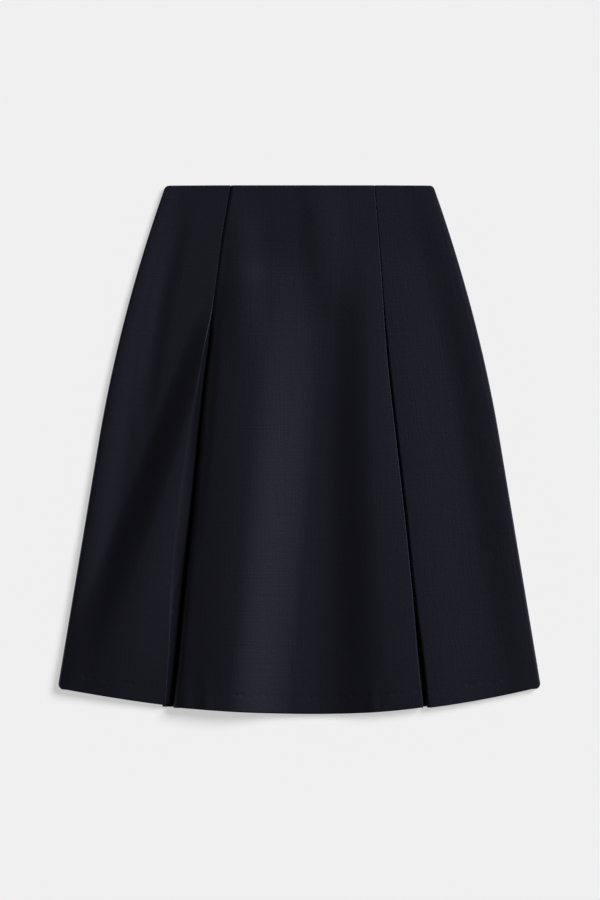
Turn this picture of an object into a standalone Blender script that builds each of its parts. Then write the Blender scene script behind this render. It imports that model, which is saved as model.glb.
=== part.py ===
"""A knee-length A-line wool skirt with two inverted front pleats, laid flat on its back.

Metres, +Z up. The skirt lies on the plane Z = 0, its waist towards +Y and its hem towards -Y.
"down" is a distance from the waist edge towards the hem, "across" is X from the centre front,
and left and right are as seen from above, with the front of the skirt facing up.
"""

from typing import NamedTuple

import bmesh
import bpy
import numpy as np

MM = 0.001

# The cut, as it lies flat
WAIST_HALF = 170 * MM  # half the width of the waist
FRONT_LENGTH = 671.7 * MM  # waist to the lowest point of the front hem
FLARE = 0.166  # widening of each side for each metre down, below the hip
HIP_CURVE = 31 * MM  # how far the hip curve draws the side in at the waist
HIP_LENGTH = 326 * MM  # where the hip curve ends
CORNER_IN = 2.4 * MM  # how far the rounded corners at the waist and the hem are drawn in
CORNER_LENGTH = 6 * MM  # how far from the waist or the hem this starts

# The cloth
CLOTH = 1.1 * MM
SEAM = 0.3 * MM  # between two pieces that are sewn or lie together
TURN_UP = 24 * MM  # depth of the hem that is folded up inside, a second layer

# Where each front panel's hem lies below the waist, at its left and right edge, and how far it
# bows below the straight line between them
LEFT_HEM = (641.0 * MM, 660.1 * MM, 0.9 * MM)
CENTRE_HEM = (663.3 * MM, 663.2 * MM, 8.3 * MM)
RIGHT_HEM = (663.4 * MM, 640.3 * MM, 1.8 * MM)
CENTRE_HEM_SKEW = 0.5  # moves the lowest point of the centre panel's hem to the right
BACK_HEM = (638.5 * MM, 667.5 * MM)  # at the side seam and at the centre back

WAIST_Y = FRONT_LENGTH / 2

# Heights of the layers above the surface that the skirt lies on. A group of three is the value
# at the waist, half way down and at the hem.
LEVEL = (7.0 * MM, 7.6 * MM, 10.6 * MM)  # the front's outer face between its folds
SIDE_SEAM_UP = (2.9 * MM, 3.4 * MM, 4.3 * MM)
SEAM_LEG = 0.6 * MM  # the cloth is upright for this much above and below the side seam
SIDE_ROLL = (2.6 * MM, 4.8 * MM, 6.5 * MM)  # how far in the front starts to turn down to the seam
BACK_ROLL = 3.2 * MM  # how far in the back starts to turn up to the seam

# The pleats
UNDERLAY_TOP = 140 * MM  # a little above the end of the stitching that shuts the pleats
UNDERLAY_UP = (2.5 * MM, 4.9 * MM)  # upper face of the underlay: at its top and at the hem
RETURN_UP = (1.6 * MM, 2.8 * MM, 5.25 * MM)  # under face of a turned-under edge: waist, top, hem
RETURN_WIDTH = (12 * MM, 14 * MM, 38 * MM)  # width of the turned-under edge at the same places
PAST_ROLL = 5 * MM  # a turned-under edge reaches at least this far past its roll
RETURN_SHORT = 7 * MM  # its far end stops this much sooner, behind the slanting hem of its panel
ROLL_SLACK = 0.25 * MM  # a roll's tightest bend is this much wider than its cloth
UNDERLAY_PAST = 2 * MM  # the underlay reaches this far past the turned-under edges

# How finely the surfaces are divided
WAIST_ROWS = np.array([0, 1.5, 5, 20]) * MM
HEM_ROWS = np.array([24.5, 24, 8, 3.5, 1, 0]) * MM  # above the hem
MIDDLE_ROWS = 10
SHORTEST_ROW = 0.01  # of the length
ROLL_STEPS = 6
SIDE_STEPS = 4
RETURN_STEPS = 2
SIDE_PANEL_STEPS = 11
CENTRE_PANEL_STEPS = 20
BACK_STEPS = 3

# The zip behind the centre back seam, closed: its tape lies on the inside of the back
ZIP_LENGTH = 190 * MM
ZIP_BELOW_WAIST = 6 * MM
TAPE_WIDTH = 24 * MM
TAPE = 0.9 * MM
COIL_WIDTH = 3.6 * MM
COIL = 0.7 * MM
SLIDER = (5.6 * MM, 9 * MM, 1.6 * MM)  # wide, long and high above the tape
TAB = (3.6 * MM, 17 * MM, 0.8 * MM)
TAB_DOWN = 16 * MM  # from the top of the zip to the middle of the tab
STOP = (5 * MM, 3 * MM, 1.2 * MM)
OVERLAP = 0.3 * MM  # how deep the joined shapes reach into each other

WOOL_COLOUR = (0.011, 0.011, 0.016, 1)
WOOL_ROUGHNESS = 0.85
ZIP_COLOUR = (0.009, 0.009, 0.013, 1)
ZIP_ROUGHNESS = 0.55


class Pleat(NamedTuple):
    """The slit of one pleat, as columns read at the distances in "down", all in millimetres.

    line is where the middle of the slit lies across, slit its half width, and left_roll and
    right_roll how far the folded edges on its two sides take to round over.
    """

    down: tuple
    line: tuple
    slit: tuple
    left_roll: tuple
    right_roll: tuple


LEFT_PLEAT = Pleat(
    down=(0, 70, 120, 156, 196, 247, 298, 349, 400, 450, 501, 552, 603, 672),
    line=(
        -87.5, -98.9, -105.4, -109.8, -113.7, -118.7, -123.8,
        -129.3, -135.3, -141.3, -147.4, -153.2, -158.6, -165.9,
    ),
    slit=(0.15, 0.15, 0.15, 0.15, 2, 2.9, 3, 2.9, 2.7, 2.8, 3.4, 4.4, 5.2, 4.8),
    left_roll=(1.9, 1.9, 2, 2.2, 4, 6.5, 10, 12.5, 13.5, 13, 11.5, 9, 6.2, 3.8),
    right_roll=(1.9, 2.1, 2.8, 4, 7, 9.5, 11, 11.5, 11.5, 11, 10.5, 10, 9, 8),
)
RIGHT_PLEAT = Pleat(
    down=(0, 70, 120, 156, 222, 298, 374, 450, 501, 552, 603, 672),
    line=(95.6, 101.3, 104.9, 107.4, 112.8, 120.9, 129.4, 137.5, 142.7, 148, 153.5, 160.6),
    slit=(0.15, 0.15, 0.15, 0.25, 0.8, 0.7, 0.5, 0.4, 0.5, 1.2, 2.4, 2.2),
    left_roll=(1.9, 1.9, 1.9, 1.9, 2.1, 2.3, 2.5, 2.7, 2.8, 2.9, 3, 3.1),
    right_roll=(1.9, 1.9, 1.9, 2, 2.6, 3, 3.4, 3.6, 3.7, 3.8, 3.9, 4),
)


class Fold(NamedTuple):
    """A soft ridge above the front's level, or a trough where its height is below 0, in millimetres.

    Each of path, height, reach_left and reach_right has three values: where the fold starts,
    half way along it, and where it ends. In the centre panel path is measured across from the
    centre front, and in a side panel it is measured in from the side edge. The reaches say how
    far to the left and right of its crest the ridge runs out. down says where it starts and ends.
    """

    panel: str
    name: str
    down: tuple
    path: tuple
    height: tuple
    reach_left: tuple
    reach_right: tuple


FOLDS = (
    Fold("left", "side edge", (0, 672), (4, 7, 8), (0.5, 2.6, 1.4), (12, 12, 12), (26, 37, 30)),
    Fold("left", "lifted pleat", (130, 672), (128, 94, 30), (0.4, 11.8, 1.2), (40, 60, 60), (200, 110, 110)),
    Fold("centre", "hip ridge", (6, 250), (-78, -75, -75), (0.5, 1.1, 0), (28, 30, 30), (33, 36, 38)),
    Fold("centre", "main ridge", (70, 672), (-47, -68, -93), (0, 10, 13), (90, 165, 165), (90, 84, 84)),
    Fold("centre", "middle trough", (120, 672), (38, 32, 30), (0, -1.4, -2), (40, 50, 60), (50, 60, 60)),
    Fold("centre", "right ridge", (60, 672), (88, 95, 117), (0.2, 4.4, 4.6), (39, 58, 74), (60, 70, 70)),
    Fold("right", "side edge", (0, 672), (6, 7, 8), (0.5, 2.6, 1.4), (38, 48, 40), (12, 12, 12)),
    Fold("right", "pleat edge", (60, 672), (88, 131, 150), (0.2, 2.8, 2.6), (50, 60, 60), (68, 96, 98)),
)

FOLD_FADE = 60 * MM  # a fold that starts or ends inside its panel fades out over this length

# How far below the waist each underlay's hem lies: at its left end, on the two sides of its
# tucked-up left corner, in the middle of the slit, right of the slit and at its right end
LEFT_UNDERLAY_HEM = (652.5 * MM, 656.5 * MM, 662.6 * MM, 662.7 * MM, 662.6 * MM, 661.5 * MM)
RIGHT_UNDERLAY_HEM = (660.5 * MM, 661.5 * MM, 662.3 * MM, 662.4 * MM, 661.5 * MM, 655.5 * MM)
UNDERLAY_CORNER = 3.9 * MM  # the tucked-up corner lies this far outside the slit
CORNER_STEP = 0.3 * MM


def read(down, stations, values):
    """Reads a column of a pleat's table, on a cubic with no kink at a station."""
    stations = np.asarray(stations) * MM
    values = np.asarray(values) * MM
    slopes = np.gradient(values, stations)
    before = np.clip(np.searchsorted(stations, down) - 1, 0, len(stations) - 2)
    span = stations[before + 1] - stations[before]
    t = np.clip((down - stations[before]) / span, 0, 1)
    start = values[before] * (1 + 2 * t) + slopes[before] * span * t
    end = values[before + 1] * (3 - 2 * t) + slopes[before + 1] * span * (t - 1)
    return start * (1 - t) ** 2 + end * t**2


def slit_of(pleat, down):
    """Where the middle of a pleat's slit lies across, and half its width."""
    return read(down, pleat.down, pleat.line), np.maximum(read(down, pleat.down, pleat.slit), SEAM / 2)


def three(share, values):
    """The parabola through three values, at shares 0, 1/2 and 1."""
    first, middle, last = values
    return (
        first * (1 - share) * (1 - 2 * share)
        + middle * 4 * share * (1 - share)
        + last * share * (2 * share - 1)
    )


def corner(away):
    """How far a rounded corner draws the side edge in, at a distance away from the waist or hem."""
    return CORNER_IN * np.clip(1 - away / CORNER_LENGTH, 0, 1) ** 2


def half_width(down):
    """Half the garment's width: a straight flare, drawn in above the hip on a parabola."""
    hip = HIP_CURVE * np.clip(1 - down / HIP_LENGTH, 0, 1) ** 2
    return WAIST_HALF + HIP_CURVE + FLARE * down - hip


def side_edge(down, depth):
    """The side edge: half the width, less the rounded corners at the waist and the hem."""
    return half_width(down) - corner(down) - corner(depth - down)


def hem_depth(hem, share, skew=0.0):
    """How far below the waist a hem lies, at a share of the way across its panel."""
    first, last, bow = hem
    return first + (last - first) * share + 4 * bow * share * (1 - share) * (1 + skew * (share - 0.5))


def row_shares():
    """The rows of a piece, from 0 at the waist to 1 at the hem, close together at both ends."""
    top = WAIST_ROWS / FRONT_LENGTH
    low = 1 - HEM_ROWS / FRONT_LENGTH
    middle = np.linspace(top[-1], low[0], MIDDLE_ROWS + 2)[1:-1]
    return np.concatenate([top, middle, low])[:, None]


def front_height(panel, across, down):
    """The height of the front's outer face: its level and the ridges and troughs on it."""
    height = three(down / FRONT_LENGTH, LEVEL)
    for fold in FOLDS:
        if fold.panel != panel:
            continue
        start, end = (place * MM for place in fold.down)
        share = np.clip((down - start) / (end - start), 0, 1)
        inside = np.clip((down - start) / FOLD_FADE + (start <= 0), 0, 1)
        inside = inside * np.clip((end - down) / FOLD_FADE + (end >= FRONT_LENGTH), 0, 1)
        crest = three(share, fold.path) * MM
        if panel == "left":
            crest = crest - half_width(down)
        elif panel == "right":
            crest = half_width(down) - crest
        off = across - crest
        reach = np.where(off < 0, three(share, fold.reach_left), three(share, fold.reach_right)) * MM
        fade = 0.5 + 0.5 * np.cos(np.pi * np.clip(np.abs(off) / reach, 0, 1))
        height = height + three(share, fold.height) * MM * fade * inside**2 * (3 - 2 * inside)
    return height


def along_pleat(down, values):
    """A value along the pleats, given at the waist, at the underlay's top and at the hem."""
    return np.interp(down, (0, UNDERLAY_TOP, FRONT_LENGTH), values)


class Stretch(NamedTuple):
    """A part of a piece's section: across, height and the hem's depth, rows by columns."""

    across: np.ndarray
    height: np.ndarray
    depth: np.ndarray

    def back_to_front(self):
        return Stretch(*(values[:, ::-1] for values in self))


def joined(*stretches):
    """The stretches side by side, each without the first column, which the one before it has."""
    kept = [stretches[0]] + [Stretch(*(v[:, 1:] for v in s)) for s in stretches[1:]]
    return Stretch(*(np.hstack(values) for values in zip(*kept)))


def side_roll(rows, panel, depth, way):
    """The front's side edge: upright at the seam, then a quarter of an ellipse up to the panel.

    way is 1 where the garment lies on the +X side of this edge, and -1 where it lies on the other.
    """
    down = rows * depth
    edge = -way * side_edge(down, depth)
    roll = three(rows, SIDE_ROLL)
    start = edge + way * roll
    top = front_height(panel, start, down)
    seam = three(rows, SIDE_SEAM_UP) + SEAM / 2
    bottom = seam + SEAM_LEG
    turn = np.linspace(0, np.pi / 2, SIDE_STEPS + 1)
    across = np.hstack([edge, start - way * roll * np.cos(turn)])
    height = np.hstack([seam, bottom + (top - bottom) * np.sin(turn)])
    return Stretch(across, height, np.full_like(across, depth))


def pleat_edge(rows, panel, pleat, depth, way):
    """A pleat's folded edge, from the panel round to the end of its turned-under part.

    The roll is half an ellipse between the panel's top and the return below it, kept wide enough
    for its cloth. way is 1 for the edge on the left of the slit, which points to +X, and -1 for
    the one on its right.
    """
    down = rows * depth
    line, slit = slit_of(pleat, down)
    crease = line - way * slit
    roll = read(down, pleat.down, pleat.left_roll if way > 0 else pleat.right_roll)
    bottom = along_pleat(down, RETURN_UP)
    half = (front_height(panel, crease - way * roll, down) - bottom) / 2
    tightest = CLOTH * (1 + down / FRONT_LENGTH) + ROLL_SLACK
    roll = np.clip(roll, np.sqrt(half * tightest), half**2 / tightest)
    start = crease - way * roll
    top = front_height(panel, start, down)
    turn = np.linspace(0, np.pi, ROLL_STEPS + 1)
    across = start + way * roll * np.sin(turn)
    height = (top + bottom) / 2 + (top - bottom) / 2 * np.cos(turn)
    end = crease - way * np.maximum(along_pleat(down, RETURN_WIDTH), roll + PAST_ROLL)
    away = np.linspace(0, 1, RETURN_STEPS + 1)[1:]
    across = np.hstack([across, start + (end - start) * away])
    height = np.hstack([height, bottom + 0 * away])
    short = np.concatenate([np.zeros(ROLL_STEPS + 1), RETURN_SHORT * away])
    return Stretch(across, height, depth - short + 0 * across)


def panel_top(rows, panel, left, right, hem, steps, skew=0.0):
    """The open part of a front panel, between the stretches at its two edges."""
    share = np.linspace(0, 1, steps + 1)
    across = left.across[:, -1:] * (1 - share) + right.across[:, :1] * share
    depth = hem_depth(hem, share, skew)[None, :] + 0 * across
    return Stretch(across, front_height(panel, across, rows * depth), depth)


def left_panel(rows):
    side = side_roll(rows, "left", LEFT_HEM[0], 1)
    pleat = pleat_edge(rows, "left", LEFT_PLEAT, LEFT_HEM[1], 1)
    top = panel_top(rows, "left", side, pleat, LEFT_HEM, SIDE_PANEL_STEPS)
    return joined(side, top, pleat)


def centre_panel(rows):
    left = pleat_edge(rows, "centre", LEFT_PLEAT, CENTRE_HEM[0], -1).back_to_front()
    right = pleat_edge(rows, "centre", RIGHT_PLEAT, CENTRE_HEM[1], 1)
    top = panel_top(rows, "centre", left, right, CENTRE_HEM, CENTRE_PANEL_STEPS, CENTRE_HEM_SKEW)
    return joined(left, top, right)


def right_panel(rows):
    pleat = pleat_edge(rows, "right", RIGHT_PLEAT, RIGHT_HEM[0], -1).back_to_front()
    side = side_roll(rows, "right", RIGHT_HEM[1], -1).back_to_front()
    top = panel_top(rows, "right", pleat, side, RIGHT_HEM, SIDE_PANEL_STEPS)
    return joined(pleat, top, side)


def back_panel(rows, way):
    """Half of the back, flat on the surface, its side edge turned up to the seam.

    way is 1 for the half on the +X side. Its columns run so that the outer face looks down.
    """
    side_depth, centre_depth = BACK_HEM
    edge = side_edge(rows * side_depth, side_depth)
    seam = three(rows, SIDE_SEAM_UP) - SEAM / 2
    turn = np.linspace(0, np.pi / 2, SIDE_STEPS + 1)
    roll_across = np.hstack([edge, edge - BACK_ROLL + BACK_ROLL * np.cos(turn)])
    roll_height = np.hstack([seam, (seam - SEAM_LEG) * (1 - np.sin(turn))])
    share = np.linspace(0, 1, BACK_STEPS + 1)[1:]
    flat_across = (edge - BACK_ROLL) * (1 - share) + SEAM / 2 * share
    flat_depth = side_depth + (centre_depth - side_depth) * (1 - (1 - share) ** 2)
    half = Stretch(
        np.hstack([roll_across, flat_across]),
        np.hstack([roll_height, 0 * flat_across]),
        np.hstack([np.full_like(roll_across, side_depth), flat_depth + 0 * flat_across]),
    )
    if way > 0:
        return half
    mirrored = half.back_to_front()
    return mirrored._replace(across=-mirrored.across)


def underlay(rows, pleat, hem):
    """The strip behind a pleat's slit, from past one turned-under edge to past the other."""
    depth = np.array(hem)
    down = rows * depth
    line, slit = slit_of(pleat, down)
    inner = slit + UNDERLAY_CORNER
    reach = slit + along_pleat(down, RETURN_WIDTH) + UNDERLAY_PAST
    offsets = (-reach, -inner - CORNER_STEP, -inner, 0 * slit, inner, reach)
    across = line + np.stack([offset[:, i] for i, offset in enumerate(offsets)], axis=1)
    top, low = UNDERLAY_UP
    height = np.interp(down, (UNDERLAY_TOP, FRONT_LENGTH), (top, low))
    return Stretch(across, height, depth[None, :] + 0 * across)


def material(name, colour, roughness):
    found = bpy.data.materials.get(name)
    if found:
        return found
    made = bpy.data.materials.new(name)
    made.use_nodes = True
    shader = made.node_tree.nodes["Principled BSDF"]
    shader.inputs["Base Color"].default_value = colour
    shader.inputs["Roughness"].default_value = roughness
    shader.inputs["Metallic"].default_value = 0
    return made


def cloth_piece(name, rows, section, collection):
    """One cut piece: its outer face as a grid, thickened inwards, with the hem a second layer.

    The grid starts flat, one unit a side, and each of its points is moved to its place in the
    section, its rows running from the waist down.
    """
    places = np.stack([section.across, WAIST_Y - rows * section.depth, section.height], axis=-1)
    down_steps, across_steps = (count - 1 for count in section.across.shape)
    turned_up = (1 - rows[:, 0]) * FRONT_LENGTH <= TURN_UP + SEAM
    hem_points = []
    grid = bmesh.new()
    bmesh.ops.create_grid(grid, x_segments=across_steps, y_segments=down_steps, size=0.5)
    grid.verts.index_update()
    for point in grid.verts:
        row = round((0.5 - point.co.y) * down_steps)
        column = round((0.5 + point.co.x) * across_steps)
        point.co = places[row, column]
        if turned_up[row]:
            hem_points.append(point.index)
    mesh = bpy.data.meshes.new(name)
    grid.to_mesh(mesh)
    grid.free()
    mesh.materials.append(material("wool", WOOL_COLOUR, WOOL_ROUGHNESS))
    mesh.shade_smooth()
    piece = bpy.data.objects.new(name, mesh)
    collection.objects.link(piece)

    hem = piece.vertex_groups.new(name="turned up hem")
    hem.add(hem_points, 1.0, "REPLACE")
    wall = piece.modifiers.new("wall", "SOLIDIFY")
    wall.thickness = 2 * CLOTH
    wall.vertex_group = hem.name
    wall.thickness_vertex_group = 0.5
    wall.offset = -1
    wall.use_even_offset = True
    return piece


def block(name, middle, size, collection):
    """A box about a middle point, with its size applied to its mesh."""
    bpy.ops.mesh.primitive_cube_add(size=1, location=middle)
    made = bpy.context.object
    made.name = name
    made.scale = size
    bpy.ops.object.transform_apply(location=False, rotation=False, scale=True)
    for owner in list(made.users_collection):
        owner.objects.unlink(made)
    collection.objects.link(made)
    return made


def zip_fastener(collection, helpers):
    """Tape, closed coil, slider with its tab folded flat, and bottom stop, joined into one piece."""
    bottom = CLOTH + SEAM
    top_y = WAIST_Y - ZIP_BELOW_WAIST
    tape_middle = (0, top_y - ZIP_LENGTH / 2, bottom + TAPE / 2)
    tape = block("back_zip", tape_middle, (TAPE_WIDTH, ZIP_LENGTH, TAPE), collection)
    tape.data.materials.append(material("zip", ZIP_COLOUR, ZIP_ROUGHNESS))
    on_tape = bottom + TAPE - OVERLAP

    def added(name, down, wide, long, high, lift=0.0):
        middle = (0, top_y - down, on_tape + lift + (high + OVERLAP) / 2)
        helper = block(name, middle, (wide, long, high + OVERLAP), helpers)
        helper.hide_render = True
        helper.display_type = "WIRE"
        union = tape.modifiers.new(name, "BOOLEAN")
        union.operation = "UNION"
        union.object = helper

    coil_length = ZIP_LENGTH - 2 * STOP[1]
    added("coil", ZIP_LENGTH / 2, COIL_WIDTH, coil_length, COIL)
    added("slider", STOP[1] + SLIDER[1] / 2, *SLIDER)
    added("tab", TAB_DOWN, *TAB, lift=COIL)
    added("stop", ZIP_LENGTH - STOP[1], *STOP)
    return tape


def build():
    for old in list(bpy.data.objects):
        bpy.data.objects.remove(old, do_unlink=True)
    scene = bpy.context.scene.collection
    skirt = bpy.data.collections.new("wool_skirt")
    helpers = bpy.data.collections.new("helpers")
    scene.children.link(skirt)
    scene.children.link(helpers)

    rows = row_shares()
    cloth_piece("front_left", rows, left_panel(rows), skirt)
    cloth_piece("front_centre", rows, centre_panel(rows), skirt)
    cloth_piece("front_right", rows, right_panel(rows), skirt)
    cloth_piece("back_left", rows, back_panel(rows, -1), skirt)
    cloth_piece("back_right", rows, back_panel(rows, 1), skirt)

    start = UNDERLAY_TOP / FRONT_LENGTH
    lower = np.concatenate([[[start]], rows[rows[:, 0] > start + SHORTEST_ROW]])
    cloth_piece("underlay_left", lower, underlay(lower, LEFT_PLEAT, LEFT_UNDERLAY_HEM), skirt)
    cloth_piece("underlay_right", lower, underlay(lower, RIGHT_PLEAT, RIGHT_UNDERLAY_HEM), skirt)
    zip_fastener(skirt, helpers)


build()
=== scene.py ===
"""The looks of a wool skirt with two inverted front pleats, laid flat on its back.

Metres, +Z up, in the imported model's own frame: the skirt lies on Z = 0, its waist towards +Y.
"down" is a distance from the waist edge towards the hem, "across" is X from the centre front, and
left and right are as seen from above. Every piece of cloth is worked out as whole numpy arrays on
a grid of rows, which run from the waist to the hem, and columns, which run across.
"""

import math
from typing import NamedTuple

import bpy
import numpy as np
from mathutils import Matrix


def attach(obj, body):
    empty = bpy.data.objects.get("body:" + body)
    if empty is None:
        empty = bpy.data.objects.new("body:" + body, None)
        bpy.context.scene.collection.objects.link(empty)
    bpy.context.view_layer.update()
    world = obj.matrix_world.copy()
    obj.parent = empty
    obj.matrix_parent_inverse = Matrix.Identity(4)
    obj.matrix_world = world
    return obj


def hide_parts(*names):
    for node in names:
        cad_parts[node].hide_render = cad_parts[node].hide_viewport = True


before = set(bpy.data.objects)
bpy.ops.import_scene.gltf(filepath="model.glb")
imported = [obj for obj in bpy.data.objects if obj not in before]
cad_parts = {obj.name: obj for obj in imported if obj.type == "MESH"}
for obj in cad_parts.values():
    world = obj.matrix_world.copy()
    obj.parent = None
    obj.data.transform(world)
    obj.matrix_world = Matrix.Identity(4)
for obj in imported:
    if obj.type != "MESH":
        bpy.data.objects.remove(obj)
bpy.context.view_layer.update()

MM = 0.001

# The cut, as it lies flat
WAIST_HALF = 170 * MM
FRONT_LENGTH = 671.7 * MM
WAIST_Y = FRONT_LENGTH / 2
FLARE = 0.166  # how far each side edge runs out for each unit down
HIP_CURVE = 31 * MM  # how far the waist is drawn in from that flare, fading out over HIP_LENGTH
HIP_LENGTH = 326 * MM
WAIST_CORNER = 5 * MM  # radius of the outline's corners
HEM_CORNER = 9 * MM

CLOTH = 1.1 * MM
FOLDED = 2 * CLOTH  # two layers: the turned edge at the waist and the turned-up hem
SEAM = 0.3 * MM
WAIST_TURNED = 9 * MM
TURN_UP = 24 * MM
EDGE = CLOTH  # radius of a folded edge

# Where each front panel's hem lies below the waist: at its left edge, at its right edge, and how
# far it bows below the straight line between them
LEFT_HEM = (641.0 * MM, 660.1 * MM, 0.9 * MM)
CENTRE_HEM = (663.3 * MM, 663.2 * MM, 8.3 * MM)
RIGHT_HEM = (663.4 * MM, 640.3 * MM, 1.8 * MM)
CENTRE_HEM_SKEW = 0.5  # its bow is deeper towards the right
BACK_HEM = (638.5 * MM, 667.5 * MM)  # at the side seam and at the centre back

# The front's level and the side seams, as heights above the floor, and the rolled side edges. A
# group of three is the value at the waist, half way down and at the hem.
LEVEL = (7.0 * MM, 7.6 * MM, 10.6 * MM)
SIDE_SEAM_UP = (2.9 * MM, 3.4 * MM, 4.3 * MM)
SIDE_ROLL = (2.6 * MM, 4.8 * MM, 6.5 * MM)
SIDE_POWER = {"left": 3, "right": 5}  # 2 rolls over as an ellipse, 5 stays flat almost to its end
SEAM_LEG = 0.9 * MM  # how high the cloth stands upright at a side seam
SEAM_TUCK = 0.35 * MM  # how far the cloth draws in where it meets a seam
BACK_ROLL = 3.2 * MM

# The pleats' turned-under edges: their height above the floor and their width, at the waist, at the
# underlay's top and at the hem
RETURN_UP = (1.6 * MM, 2.8 * MM, 5.25 * MM)
RETURN_WIDTH = (12 * MM, 14 * MM, 38 * MM)
RETURN_SHORT = 7 * MM  # the far end of a turned-under edge stops this much sooner than its hem
PAST_ROLL = 5 * MM  # a turned-under edge goes at least this far past the end of its roll
ROLL_SLACK = 0.25 * MM
LEAN_STEP = 0.1 * MM

# The strips behind the pleats: their height above the floor at their top and at the hem, and how
# far down the hem lies at the left edge, on both sides of a small step, in the middle of the slit,
# past the slit and at the right edge
UNDERLAY_TOP = 140 * MM
UNDERLAY_UP = (2.5 * MM, 4.9 * MM)
LEFT_UNDERLAY_HEM = (652.5 * MM, 656.5 * MM, 662.6 * MM, 662.7 * MM, 662.6 * MM, 661.5 * MM)
RIGHT_UNDERLAY_HEM = (660.5 * MM, 661.5 * MM, 662.3 * MM, 662.4 * MM, 661.5 * MM, 655.5 * MM)
UNDERLAY_PAST = 2 * MM  # how much further out than the turned-under edges a strip reaches
UNDERLAY_CORNER = 3.9 * MM  # from the edge of the slit to the step
CORNER_STEP = 0.3 * MM

# How finely the cloth is divided
WAIST_ROWS = 10
MIDDLE_ROWS = 96
HEM_ROWS = 26
WAIST_FINE = 13 * MM  # the closely spaced rows at the waist and at the hem reach this far
HEM_FINE = 33 * MM
CENTRE_COLUMNS = 170
SIDE_COLUMNS = 92
BACK_COLUMNS = 70
UNDERLAY_COLUMNS = 9
ROLL_COLUMNS = 26
LEG_COLUMNS = 4
EDGE_STEPS = 8
NORMAL_PASSES = 10  # evens out the direction in which a wall gets its thickness
SHARP_ABOVE = math.radians(24)  # faces that meet at more than this are shaded as an edge


class Pleat(NamedTuple):
    """The slit of one pleat, in columns read at the distances in "down", in millimetres.

    line is where the middle of the slit lies across, slit its half width, and left_roll and
    right_roll how far the folded edges beside it take to round over. left_power and right_power
    are the powers of those edges' upper curves: 2 for an ellipse, nearer to 1 for a sharp crease
    with a straight wall beside it, and above 2 for an edge pressed flat almost to its end. left_tip
    is the share of the way up at which the left edge reaches furthest.
    """

    down: tuple
    line: tuple
    slit: tuple
    left_roll: tuple
    right_roll: tuple
    left_power: tuple
    right_power: tuple
    left_tip: tuple


LEFT_PLEAT = Pleat(
    down=(0, 70, 120, 156, 196, 247, 298, 349, 400, 450, 501, 552, 603, 672),
    line=(
        -87.5, -98.9, -105.4, -109.8, -114.4, -121.1, -126.4,
        -130.7, -135.5, -141.3, -148.0, -154.5, -159.6, -165.9,
    ),
    slit=(0.15, 0.15, 0.15, 0.15, 1.8, 2.4, 2.4, 2.3, 2.2, 2.7, 4.2, 6.0, 6.2, 4.8),
    left_roll=(1.9, 1.9, 2, 2.2, 3.4, 5.2, 9.2, 12.8, 14.5, 13, 10, 6, 4.2, 3.4),
    right_roll=(4.6, 4.8, 4.8, 5.2, 7, 9.5, 11, 11.5, 11.5, 11, 10.5, 10, 10, 10.5),
    left_power=(8, 8, 7, 4, 1.6, 1.3, 1.1, 1.08, 1.08, 1.08, 1.2, 2, 5, 8),
    right_power=(2,) * 14,
    left_tip=(0.5, 0.5, 0.5, 0.5, 0.35, 0.2, 0.13, 0.11, 0.11, 0.11, 0.13, 0.2, 0.35, 0.5),
)
RIGHT_PLEAT = Pleat(
    down=(0, 70, 120, 156, 222, 298, 374, 450, 501, 552, 603, 672),
    line=(95.6, 101.3, 104.9, 107.4, 112.8, 120.9, 129.4, 137.5, 142.7, 148, 153.5, 160.6),
    slit=(0.15, 0.15, 0.15, 0.25, 0.8, 0.7, 0.5, 0.4, 0.5, 1.2, 2.4, 2.2),
    left_roll=(1.9, 1.9, 1.9, 1.9, 2.1, 2.3, 2.5, 2.7, 2.8, 2.9, 3, 3.1),
    right_roll=(1.9, 1.9, 1.9, 2, 2.6, 3, 3.4, 3.6, 3.7, 3.8, 3.9, 4),
    left_power=(8, 8, 7, 6, 5.5, 5.5, 5.5, 6, 6, 6.5, 6.5, 6.5),
    right_power=(7, 6, 5, 4, 3, 2.5, 2, 2, 2, 2, 2, 2),
    left_tip=(0.5,) * 12,
)


class Fold(NamedTuple):
    """A soft ridge, or a trough where its height is below 0, in millimetres.

    path, height, reach_left and reach_right each have three values: where the fold starts, half
    way along it, and where it ends. path is measured across from the centre front in the centre
    panel, and in from the side edge in a side panel. down says where the fold starts and ends.
    """

    panel: str
    name: str
    down: tuple
    path: tuple
    height: tuple
    reach_left: tuple
    reach_right: tuple


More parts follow.
